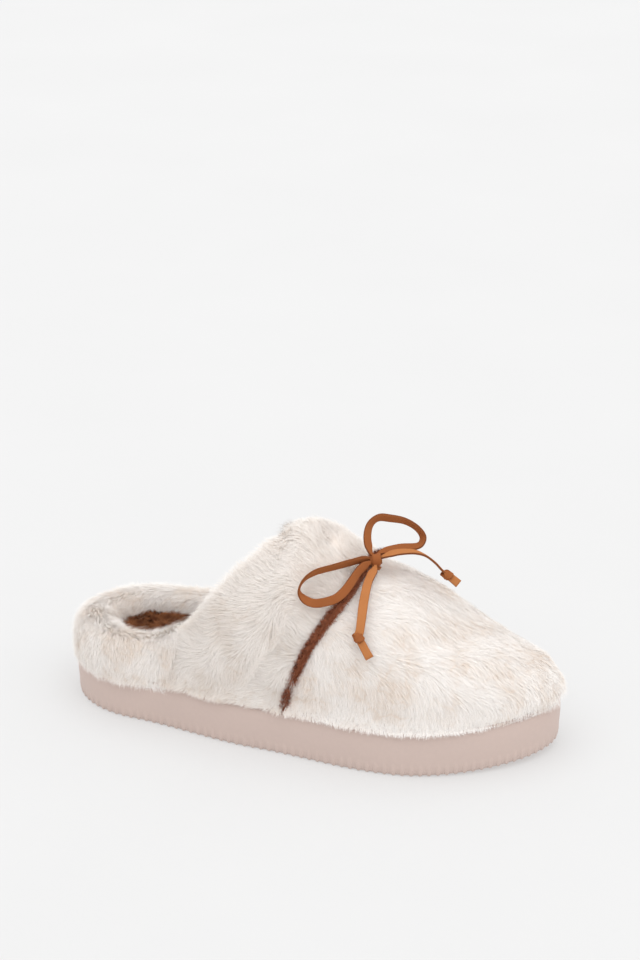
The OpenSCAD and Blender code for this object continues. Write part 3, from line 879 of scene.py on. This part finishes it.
def wrap(name, centre, axis, tilt, radius, flat, width, thick):
    """One turn of lace round a middle: a band about axis, squeezed to an oval, leaning by tilt."""
    axis = normalised(np.asarray(axis, float))
    side = normalised(np.cross(axis, [0.13, 0.2, 1.0]))
    up = np.cross(side, axis)
    t = np.linspace(0, 2 * np.pi, 40, endpoint=False)[:, None]
    round_ = side * np.cos(t) * radius + up * np.sin(t) * radius * flat
    line = np.asarray(centre, float) + round_ + axis * (np.sin(t + 0.6) * tilt)
    wide = axis + side * 0.35 * np.cos(t + 0.6) * (tilt / max(radius, 1e-6))
    return ribbon(name, line, wide, width, thick, closed=True)


def merged(name, parts):
    """One object of several."""
    bpy.ops.object.select_all(action="DESELECT")
    for part in parts:
        part.select_set(True)
    bpy.context.view_layer.objects.active = parts[0]
    bpy.ops.object.join()
    parts[0].name = name
    parts[0].data.name = name
    return parts[0]


class SLIPPER_OT_lace(bpy.types.Operator):
    """Makes the bow: its two loops, two tails, end knots and wrapped middle"""

    bl_idname = "slipper.lace"
    bl_label = "Lace bow"

    def execute(self, context):
        lace, colours = context.scene.slipper_lace, context.scene.slipper_colours
        width, thick = lace.width / MM, lace.thickness / MM
        # The back colour is painted shade.
        face, back = tuple(colours.lace), tuple(colours.lace_back_shade)
        suede = suede_material("lace_suede", face, back, CUT_EDGE)
        knots = {}
        for name, (p, q, wide) in (("tail_knot_front", KNOT_FRONT), ("tail_knot_right", KNOT_RIGHT)):
            p, q, wide = (np.asarray(x, float) for x in (p, q, wide))
            way = normalised(q - p)
            s = np.linspace(-0.05, 1, 9)[:, None]
            bend = np.cross(way, wide) * (0.5 * np.sin(s * 3.0))
            line, widths = KNOT + p + (q - p) * s + bend, width * np.linspace(0.86, 0.97, 9)
            stub = ribbon("stub", line, np.broadcast_to(wide, (9, 3)), widths, thick)
            one = wrap("one", KNOT + p - way * 0.3, way, 1.5, 2.15, 0.82, width * 0.62, thick * 1.1)
            lean = way * 0.8 + wide * 0.55
            two = wrap("two", KNOT + p + way * 0.5, lean, -1.3, 1.9, 0.9, width * 0.6, thick * 1.1)
            core = wrap("core", KNOT + p, wide, 0.5, 1.3, 0.9, width * 0.6, thick)
            knots[name] = dress(merged(name + "_wrap", [stub, one, two, core]), suede)
            declare(knots[name], "front_tail" if name == "tail_knot_front" else "right_tail", name)
        for name, points, body, ends in (
            ("bow_loop_left", LOOP_LEFT, "left_loop", None),
            ("bow_loop_right", LOOP_RIGHT, "right_loop", None),
            ("lace_tail_front", TAIL_FRONT, "front_tail", "tail_knot_front"),
            ("lace_tail_right", TAIL_RIGHT, "right_tail", "tail_knot_right"),
        ):
            if ends:
                p, q, wide = KNOT_FRONT if ends == "tail_knot_front" else KNOT_RIGHT
                way = normalised(np.asarray(q, float) - p)
                points = points + [[*(np.asarray(p, float) - 0.6 * way), *points[-1][3:]]]
            first = [0.35 * c for c in points[0][:3]]
            points = [[*first, *points[0][3:]], *points]
            if not ends:
                points = [*points, [*(0.35 * c for c in points[-1][:3]), *points[-1][3:]]]
            obj, path = lace_piece(name + "_suede", points, 7, width, thick)
            dress(obj, suede)
            declare(obj, body, name)
            length = float(np.linalg.norm(np.diff(path, axis=0), axis=1).sum())
            tuple(path[0])
            [tuple(p) for p in path]
        axis = normalised(np.array([0.92, 0.36, 0.12]))
        parts = [
            wrap("outer", KNOT, axis, 0.5, 2.75, 0.95, width, thick),
            wrap("inner", KNOT + [0, 0, -0.1], axis, -0.7, 1.75, 0.9, width * 1.05, thick),
            wrap("core", KNOT, axis, 0.0, 0.9, 0.9, width, thick),
        ]
        middle = dress(merged("bow_knot_wrap", parts), suede)
        declare(middle, node="bow_knot")
        dress_node("bow_stay", suede)
        return {"FINISHED"}


def dress_node(name, made):
    """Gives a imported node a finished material."""
    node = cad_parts[name]
    for slot in node.material_slots:
        slot.material = made
    if not node.material_slots:
        node.data.materials.append(made)


# ---- Sole ----

# Offset from the outline and height of each ring: under the edge, up the wall, over the lip and inside.
SOLE_PROFILE = (
    (-6, 0.4), (-2.0, 0.3), (-1.2, 0.7), (-0.45, 2.4), (0.05, 6), (0.35, 11), (0.6, 15), (0.45, 20),
    (0.2, 22.3), (-0.25, 23.4), (-1.0, SOLE_H), (-WALL_T, SOLE_H), (-WALL_T - 0.6, FLOOR_T),
)
RAND_PROFILE = ((-9, 0), (0.3, 0), (0.75, 0.4), (0.85, 1), (0.6, 1.7), (0.1, 2), (-9, 2), (-9, 0))


class SLIPPER_OT_sole(bpy.types.Operator):
    """Makes the moulded sole, the ribs round its lower edge and the strip above it"""

    bl_idname = "slipper.sole"
    bl_label = "Sole"

    def execute(self, context):
        sole, colours = context.scene.slipper_sole, context.scene.slipper_colours
        pale = tuple(colours.sole)
        dark = tuple(c * 0.96 for c in pale)
        rubber = grain_material("sole_rubber", pale, dark, 500.0, 22.0, 0.05, 0.0001, 0.5, 0.35)
        deep = tuple(c * 0.82 for c in pale)
        strip = grain_material("rand_rubber", dark, deep, 500.0, 40.0, 0.2, 0.0002, 0.65, 0.25)
        n = 360
        rings = [outline_ring(n, d, z) for d, z in SOLE_PROFILE]
        shell = dress(loft("outsole_shell", rings), rubber)
        t = np.linspace(0, 2 * np.pi, 720, endpoint=False)
        p = plan_off(t, np.full(720, -0.95))
        line = np.concatenate([p, (0.05 + 500 * sole.rib_height + toe_lift(p[:, 0]))[:, None]], 1) * MM
        mesh = bpy.data.meshes.new("rib_line")
        mesh.from_pydata(line.tolist(), [(i, (i + 1) % 720) for i in range(720)], [])
        path = bpy.data.objects.new("rib_line", mesh)
        context.scene.collection.objects.link(path)
        values = {"Count": sole.ribs, "Width": sole.rib_width, "Height": sole.rib_height, "Material": rubber}
        ribs = grown("outsole_ribs", path, rib_tree(), values, keep=())
        bpy.data.objects.remove(path)
        declare(shell, node="outsole")
        declare(ribs)
        band = [outline_ring(n, d, RAND_Z + z) for d, z in RAND_PROFILE]
        rand = dress(loft("rand_band", band, capped=False), strip)
        declare(rand, node="rand_strip")
        return {"FINISHED"}


# ---- Upper ----


def pelt_lay(points, swirl, size, seed, forward, down):
    """The way the pile lies on a grid: along x by forward, down the sides by down, turned by soft noise."""
    cols = points.shape[1]
    ahead = normalised(np.gradient(points, axis=0))
    round_ = normalised(np.gradient(points, axis=1))
    a = np.linspace(0, np.pi, cols)[None, :, None]
    fall = -round_ * np.tanh(2.2 * np.cos(a))
    lay = normalised(ahead * forward[..., None] + fall * down[..., None])
    turn = swirl * waves(points, size, seed)[..., None]
    up = normalised(np.cross(round_, ahead))
    return lay * np.cos(turn) + np.cross(up, lay) * np.sin(turn)


def instep_skin_grid(d, rim_rows, rows, cols, stop):
    """The instep's skin and its opening's rolled rim, filled out beside the crest and eased on top."""
    base = instep_grid(d, rows, cols, 1.9, stop)
    up = normalised(np.cross(np.gradient(base, axis=0), np.gradient(base, axis=1)))
    up *= np.sign(up[rows // 2, cols // 2, 2])
    a = np.linspace(0, 180, cols)[None, :]
    x = base[..., 0]
    swell = 0.5 * (0.7 * waves(base, 38, 21) + 0.3 * waves(base, 16, 22))
    swell = swell + 5.6 * np.exp(-(((a - 76) / 17) ** 2) - ((x - x[:1]) / 12) ** 2)
    swell = swell - 4.2 * np.exp(-(((a - 95) / 30) ** 2) - ((x - 14) / 12) ** 2)
    main = base + up * swell[..., None]
    return np.concatenate([rim_grid(d, rim_rows, cols) + (main - base)[:1], main])


def skin_of(grid_at, rows, cols, puff, seed, **where):
    """The padded skin under the fur: the frame's face moved in, with soft rises and hollows."""
    base = grid_at(rows=rows, cols=cols, **where)
    up = normalised(np.cross(np.gradient(base, axis=1), np.gradient(base, axis=0)))
    middle = np.array([30.0, 2.0, 30.0])
    up *= np.sign(((base - middle) * up).sum(-1).mean())
    swell = puff * (0.7 * waves(base, 38, seed) + 0.3 * waves(base, 16, seed + 1))
    return base + up * swell[..., None]


class SLIPPER_OT_upper(bpy.types.Operator):
    """Makes the two pelts of the upper and the padded heel collar, without their strands"""

    bl_idname = "slipper.upper"
    bl_label = "Pelts"

    def execute(self, context):
        fur, colours = context.scene.slipper_fur, context.scene.slipper_colours
        # Painted shade: the pelt under the fur is warmer and darker, for the shadows in the undercoat.
        warm_and_shade = tuple(0.5 * (a + b) for a, b in zip(colours.fur, colours.fur_warm_and_shade))
        pelt_shade = pile_material("pelt_backing_shade", warm_and_shade, tuple(colours.fur_warm_and_shade), 70.0, 0.2, 0.1, 0.9)
        d = fur.depth
        outer = skin_of(toe_grid, 56, 96, 0.55, 11, d=d, start=1.6)
        toe = slab("toe_pelt", outer, toe_grid(FUR_T, 56, 96, 1.6))
        inner = instep_grid(FUR_T, 44, 96, 3.2, -1.6)
        inner = np.concatenate([np.repeat(inner[:1], 8, 0), inner])
        instep = slab("instep_pelt", instep_skin_grid(d, 8, 44, 96, -1.6), inner)
        ring = arch(d, 34)
        foot = arch(FUR_T, 20)[::-1]
        whole = collar_grid(np.concatenate([ring, foot]), 110, 4.0)
        collar = loft("collar_pelt", whole)
        for piece, node in ((toe, "toe_panel"), (instep, "instep_panel"), (collar, "heel_collar")):
            dress(piece, pelt_shade)
            declare(piece, BODY, node)
        return {"FINISHED"}


class SLIPPER_OT_fur(bpy.types.Operator):
    """Grows the cream fur on the pelts and the collar"""

    bl_idname = "slipper.fur"
    bl_label = "Fur"

    def execute(self, context):
        fur, colours = context.scene.slipper_fur, context.scene.slipper_colours
        pale, warm_and_shade = tuple(colours.fur), tuple(colours.fur_warm_and_shade)
        # Painted light and shade: the toe's fur is paler, for the light falling brightest on it, and the
        # instep's fur warmer and darker, for the shade on it.
        toe_lit_pale = tuple(1 - 0.8 * (1 - c) for c in pale)
        instep_shade = tuple(0.93 * c for c in warm_and_shade)
        blend = tuple(0.8 * p + 0.2 * w for p, w in zip(pale, warm_and_shade))
        soft = {
            "toe_fur": pile_material("fur_toe", toe_lit_pale, warm_and_shade, 55.0, 0.35, 0.15, 0.75),
            "instep_fur": pile_material("fur_instep", blend, instep_shade, 50.0, 0.5, 0.15, 0.75),
            "collar_fur": pile_material("fur_collar", pale, warm_and_shade, 50.0, 0.45, 0.15, 0.75),
        }
        tree = strand_tree()
        d, pile = fur.depth, fur.length / MM

        cols = 120
        a = np.linspace(0, np.pi, cols)[None, :]
        a = np.concatenate([[[0.0] * 3], a, [[np.pi] * 3]], 1)
        low = np.exp(-((np.sin(a) / 0.42) ** 2))
        above = 1 - 0.5 * np.exp(-((np.sin(a[0, 3:-3]) / 0.13) ** 2))
        hem = np.concatenate([HEM_PILE, above, HEM_PILE[::-1]])[None, :]
        toe = with_skirt(skin_of(toe_grid, 80, cols, 0.45, 11, d=d, start=0.6))
        tip = unit((toe[..., 0] - 70) / 60)
        forward = 1.0 - 0.75 * low - 0.2 * tip
        down = 0.12 + 1.1 * low + 0.5 * tip
        end = unit((toe[..., 0] - 116) / 14)
        lay = pelt_lay(toe, 0.34, 26, 31, forward * (1 - 0.8 * end), down)
        lay = normalised(lay - end[..., None] * [0, 0, 1.2])
        toe_skin = combed("toe_skin", toe, lay, pile * hem * (1.0 - 0.1 * low - 0.15 * tip))

        instep = with_skirt(instep_skin_grid(d, 12, 64, cols, -0.6))
        rim = np.concatenate([np.linspace(1, 0.5, 12), 0.5 * unit(1 - np.arange(64) / 22)])[:, None]
        forward = (-0.55 + 0.25 * low) * (1 - rim) - 1.2 * rim
        down = (0.5 + 0.9 * low) * (1 - rim)
        lay = pelt_lay(instep, 0.7, 24, 41, forward, down)
        instep_skin = combed("instep_skin", instep, lay, pile * hem * 0.95 * (1 - 0.1 * rim))

        ring = arch(d, 40)
        collar = collar_grid(ring, 150, 5.0)
        collar = np.concatenate([collar[:, :1] - [0, 0, 1.6], collar], 1)
        along = normalised(np.gradient(collar, axis=0))
        over = normalised(np.gradient(collar, axis=1))
        s = np.concatenate([[0], np.linspace(0, np.pi, 40)])[None, :, None]
        fall = -over * np.tanh(2.5 * np.cos(s))
        turn = 0.2 * waves(collar, 22, 51)[..., None]
        lay = normalised(fall + along * (0.35 * np.sin(s) + turn))
        low_c = np.exp(-((np.sin(s[..., 0]) / 0.35) ** 2))
        collar_skin = combed("collar_skin", collar, lay, pile * (0.8 - 0.15 * low_c))
        face_out(collar_skin, collar)

        plan_ = (
            ("toe_fur", toe_skin, fur.layers, 0.5, 61),
            ("instep_fur", instep_skin, 3, 0.72, 71),
            ("collar_fur", collar_skin, 3, 0.95, 81),
        )
        for name, base, layers, rise, seed in plan_:
            size = area_of(base)
            for k in range(layers):
                last = k == layers - 1
                rows = 4 if last else 3
                count = 29000 if last else 42000
                values = {
                    "Density": count / size, "Seed": seed + k, "Rows": rows,
                    "Width": fur.width * (0.8 if last else 1.15),
                    "Rise": rise * (1.1 if last else 0.85), "Stray": 0.3 if last else 0.2,
                    "Clump Size": 0.0045 if k % 2 else 0.008, "Clump Pull": 0.00055, "Curl": 0.00022,
                    "Material": soft[name],
                }
                piece = grown(f"{name}_{k + 1}", base, tree, values)
                declare(piece)
            bpy.data.objects.remove(base)
        return {"FINISHED"}


def face_out(obj, grid):
    """Turns an open grid's faces away from the line that its rows bend round."""
    obj.data.update()
    rows, cols = grid.shape[:2]
    middle = len(obj.data.polygons) // 2
    top = obj.data.polygons[(rows // 2) * (cols - 1) + cols // 2]
    if top.normal.z < 0:
        obj.data.flip_normals()
    return middle


# ---- Plush ----


class SLIPPER_OT_plush(bpy.types.Operator):
    """Makes the brown plush piping in the seam and the plush sock"""

    bl_idname = "slipper.plush"
    bl_label = "Plush"

    def execute(self, context):
        fur, colours = context.scene.slipper_fur, context.scene.slipper_colours
        # The plush's lit colour and its dark colour; the dark one is painted shade at the roots, in the creases
        # and in the backing.
        lit, deep = tuple(colours.plush), tuple(colours.plush_shade)
        curls = pile_material("plush_curls", lit, deep, 260.0, 0.55, 0.35, 0.9)
        # Painted highlights and shade: the piping's curls mix a lit reddish brown with a shaded dark brown.
        seam = pile_material("piping_curls", (0.46, 0.16, 0.08), (0.12, 0.03, 0.015), 420.0, 0.3, 0.3, 0.9)
        # The backing is painted half way into the plush's shade.
        middle = tuple(0.5 * (x + y) for x, y in zip(lit, deep))
        backing = pile_material("plush_backing", middle, deep, 300.0, 0.3, 0.2, 0.95)
        tree = bpy.data.node_groups["pile_strands"]

        a = np.linspace(0, np.pi, 150)
        line = skin(edge_x(SEAM_EDGE, a), a, 1.3)
        ahead = normalised(np.gradient(line, axis=0))
        away = normalised(line - np.array([20.0, 1.0, 30.0]) * [0, 1, 1] - line * [1, 0, 0])
        side = normalised(np.cross(ahead, away))
        away = np.cross(side, ahead)
        t = np.linspace(0, 2 * np.pi, 14, endpoint=False)[None, :, None]
        lump = 1 + 0.08 * waves(line, 7, 91)[:, None, None]
        tube = side[:, None, :] * np.cos(t) * 0.42 + away[:, None, :] * np.sin(t) * 0.95
        tube = line[:, None, :] + tube * lump
        core = dress(loft("seam_piping_core", tube), backing)
        declare(core, node="seam_piping")
        t = np.linspace(-0.25, np.pi + 0.25, 12)[None, :, None]
        shell = line[:, None, :] + side[:, None, :] * np.cos(t) * 0.38 + away[:, None, :] * np.sin(t) * 0.85
        lay = np.broadcast_to(-ahead[:, None, :] * 0.6 + away[:, None, :] * 0.1, shell.shape)
        skin_ = combed("piping_skin", shell, lay, fur.plush_length / MM * 0.8)
        values = {"Density": 13000 / area_of(skin_), "Seed": 92, "Rows": 3,
                  "Width": 0.00026, "Rise": 1.15, "Stray": 6.0, "Clump Size": 0.002,
                  "Clump Pull": 0.0006, "Curl": 0.0005, "Material": seam}
        fuzz = grown("seam_piping_plush", skin_, tree, values)
        bpy.data.objects.remove(skin_)
        declare(fuzz)

        n = 160
        t = np.linspace(0, 2 * np.pi, n, endpoint=False)
        x = HALF_L * np.cos(t)
        inset = ease(COLLAR_T - 1.6, 11.2, (x + 75) / 50) + COLLAR_T * COLLAR_BACK * unit((-96 - x) / 30)
        inset = inset + ease(0, 6, (x - 62) / 55)
        outer = plan_off(t, -inset - 0.6)
        z0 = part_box("sock_liner")[0][2] / MM
        base_z = z0 + 2.0
        rings = []
        for share, z in ((1.0, z0), (1.0, base_z - 0.6), (0.985, base_z)):
            p = outer * share
            rings.append(np.concatenate([p, (z + toe_lift(p[:, 0]))[:, None]], 1))
        pad = loft("sock_plush_pad", rings)
        dress(pad, backing)
        declare(pad, node="sock_liner")
        u = np.linspace(-1, 1, 40)[None, :]
        xs = np.linspace(-105, 16, 90)[:, None]
        th = np.arccos(np.clip(xs / HALF_L, -1, 1))
        gap = ease(COLLAR_T - 1.6, 11.2, (xs + 75) / 50) + COLLAR_T * COLLAR_BACK * unit((-96 - xs) / 30)
        half_in, half_out = plan(th)[..., 1] - gap, plan(2 * np.pi - th)[..., 1] + gap
        half_in, half_out = np.maximum(half_in, 1.0), np.minimum(half_out, -1.0)
        ys = mix(half_out, half_in, (u + 1) / 2)
        flat = np.stack([xs + 0 * ys, ys, 0 * ys], -1)
        bed = np.stack([xs + 0 * ys, ys, base_z + 0.3 * waves(flat, 9, 95)], -1)
        lay = np.stack([waves(bed, 12, 96), waves(bed, 12, 97), 0 * ys], -1)
        skin_ = combed("sock_skin", bed, lay, fur.plush_length / MM)
        if skin_.data.polygons[0].normal.z < 0:
            skin_.data.flip_normals()
        values = {"Density": 27000 / area_of(skin_), "Seed": 93, "Rows": 3,
                  "Width": 0.00045, "Rise": 0.9, "Stray": 0.8, "Clump Size": 0.003,
                  "Clump Pull": 0.0014, "Curl": 0.0011, "Material": curls}
        fluff = grown("sock_plush_curls", skin_, tree, values)
        bpy.data.objects.remove(skin_)
        declare(fluff)
        return {"FINISHED"}


class SLIPPER_OT_lining(bpy.types.Operator):
    """Makes the plush lining under the upper and the tape along its edge"""

    bl_idname = "slipper.lining"
    bl_label = "Lining"

    def execute(self, context):
        fur, tree = context.scene.slipper_fur, bpy.data.node_groups["pile_strands"]
        backing, curls = bpy.data.materials["plush_backing"], bpy.data.materials["plush_curls"]
        d, t = LINING_D, LINING_T
        outer = np.concatenate([instep_grid(d, 30, 80, 1.0, -1.0), toe_grid(d, 40, 80, 6.0)])
        inner = np.concatenate([instep_grid(d + t, 30, 80, 1.0, -1.0), toe_grid(d + t, 40, 80, 6.0)])
        sheet = dress(slab("vamp_lining_cloth", outer, inner), backing)
        declare(sheet, node="vamp_lining")
        face = np.concatenate([instep_grid(d + t, 40, 90, 0.6, -1.0), toe_grid(d + t, 10, 90, 6.0)[:4]])
        lay = np.gradient(face, axis=0) + 0.8 * np.stack([waves(face, 12, 98 + k) for k in range(3)], -1)
        skin_ = combed("lining_skin", face, lay, fur.plush_length / MM * 0.9)
        skin_.data.flip_normals()
        values = {"Density": 25000 / area_of(skin_), "Seed": 94, "Rows": 3,
                  "Width": 0.0005, "Rise": 0.5, "Stray": 0.8, "Clump Size": 0.003,
                  "Clump Pull": 0.0009, "Curl": 0.0006, "Material": curls}
        fluff = grown("vamp_lining_plush", skin_, tree, values)
        bpy.data.objects.remove(skin_)
        declare(fluff)
        a = np.linspace(0, np.pi, 120)[None, :]
        x = edge_x(OPEN_EDGE, a) + np.linspace(2, 10, 9)[:, None]
        band = [skin(x, a + 0 * x, depth) for depth in (TAPE_D, TAPE_D + 0.6)]
        pale, dark = (0.24, 0.10, 0.045), (0.16, 0.06, 0.025)
        woven = grain_material("edge_tape", pale, dark, 900.0, 200.0, 0.5, 0.0003, 0.9, 0.2, 0.2)
        tape = dress(slab("topline_tape_cloth", *band), woven)
        declare(tape, node="topline_tape")
        return {"FINISHED"}


class SLIPPER_OT_inner_parts(bpy.types.Operator):
    """Gives the pieces inside the slipper their foam and board finishes"""

    bl_idname = "slipper.inner_parts"
    bl_label = "Inner parts"

    def execute(self, context):
        pale, dark = (0.86, 0.83, 0.76), (0.76, 0.72, 0.64)
        foam = grain_material("foam", pale, dark, 1200.0, 120.0, 0.5, 0.0004, 0.9, 0.2)
        pale, dark = (0.48, 0.34, 0.22), (0.36, 0.24, 0.15)
        board = grain_material("fibre_board", pale, dark, 400.0, 60.0, 0.3, 0.0003, 0.85, 0.2)
        for name in ("midsole_foam", "footbed_foam", "toe_padding", "instep_padding", "collar_foam"):
            dress_node(name, foam)
        for name in ("insole_board", "toe_puff", "heel_counter"):
            dress_node(name, board)
        return {"FINISHED"}


class SLIPPER_PT_panel(bpy.types.Panel):
    """Lists the slipper's settings and steps"""

    bl_label = "Slipper"
    bl_idname = "SLIPPER_PT_panel"
    bl_space_type = "VIEW_3D"
    bl_region_type = "UI"
    bl_category = "Slipper"

    def draw(self, context):
        for group in ("slipper_colours", "slipper_fur", "slipper_sole", "slipper_lace", "slipper_stage"):
            box = self.layout.box()
            settings = getattr(context.scene, group)
            for key in settings.bl_rna.properties.keys():
                if key not in ("rna_type", "name"):
                    box.prop(settings, key)
        for step in STEPS:
            self.layout.operator(step.bl_idname)


GROUPS = (
    ("slipper_colours", SlipperColours),
    ("slipper_fur", SlipperFur),
    ("slipper_sole", SlipperSole),
    ("slipper_lace", SlipperLace),
    ("slipper_stage", SlipperStage),
)
STEPS = (
    SLIPPER_OT_stage,
    SLIPPER_OT_lace,
    SLIPPER_OT_sole,
    SLIPPER_OT_upper,
    SLIPPER_OT_fur,
    SLIPPER_OT_plush,
    SLIPPER_OT_lining,
    SLIPPER_OT_inner_parts,
)


def register():
    for _, group in GROUPS:
        bpy.utils.register_class(group)
    for step in STEPS:
        bpy.utils.register_class(step)
    bpy.utils.register_class(SLIPPER_PT_panel)
    for name, group in GROUPS:
        setattr(bpy.types.Scene, name, PointerProperty(type=group))


def unregister():
    for name, _ in GROUPS:
        delattr(bpy.types.Scene, name)
    bpy.utils.unregister_class(SLIPPER_PT_panel)
    for step in reversed(STEPS):
        bpy.utils.unregister_class(step)
    for _, group in reversed(GROUPS):
        bpy.utils.unregister_class(group)


def main():
    register()
    tint_group()
    grain_group()
    for step in STEPS:
        family, action = step.bl_idname.split(".")
        getattr(getattr(bpy.ops, family), action)()
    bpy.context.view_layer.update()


if __name__ == "__main__":
    main()
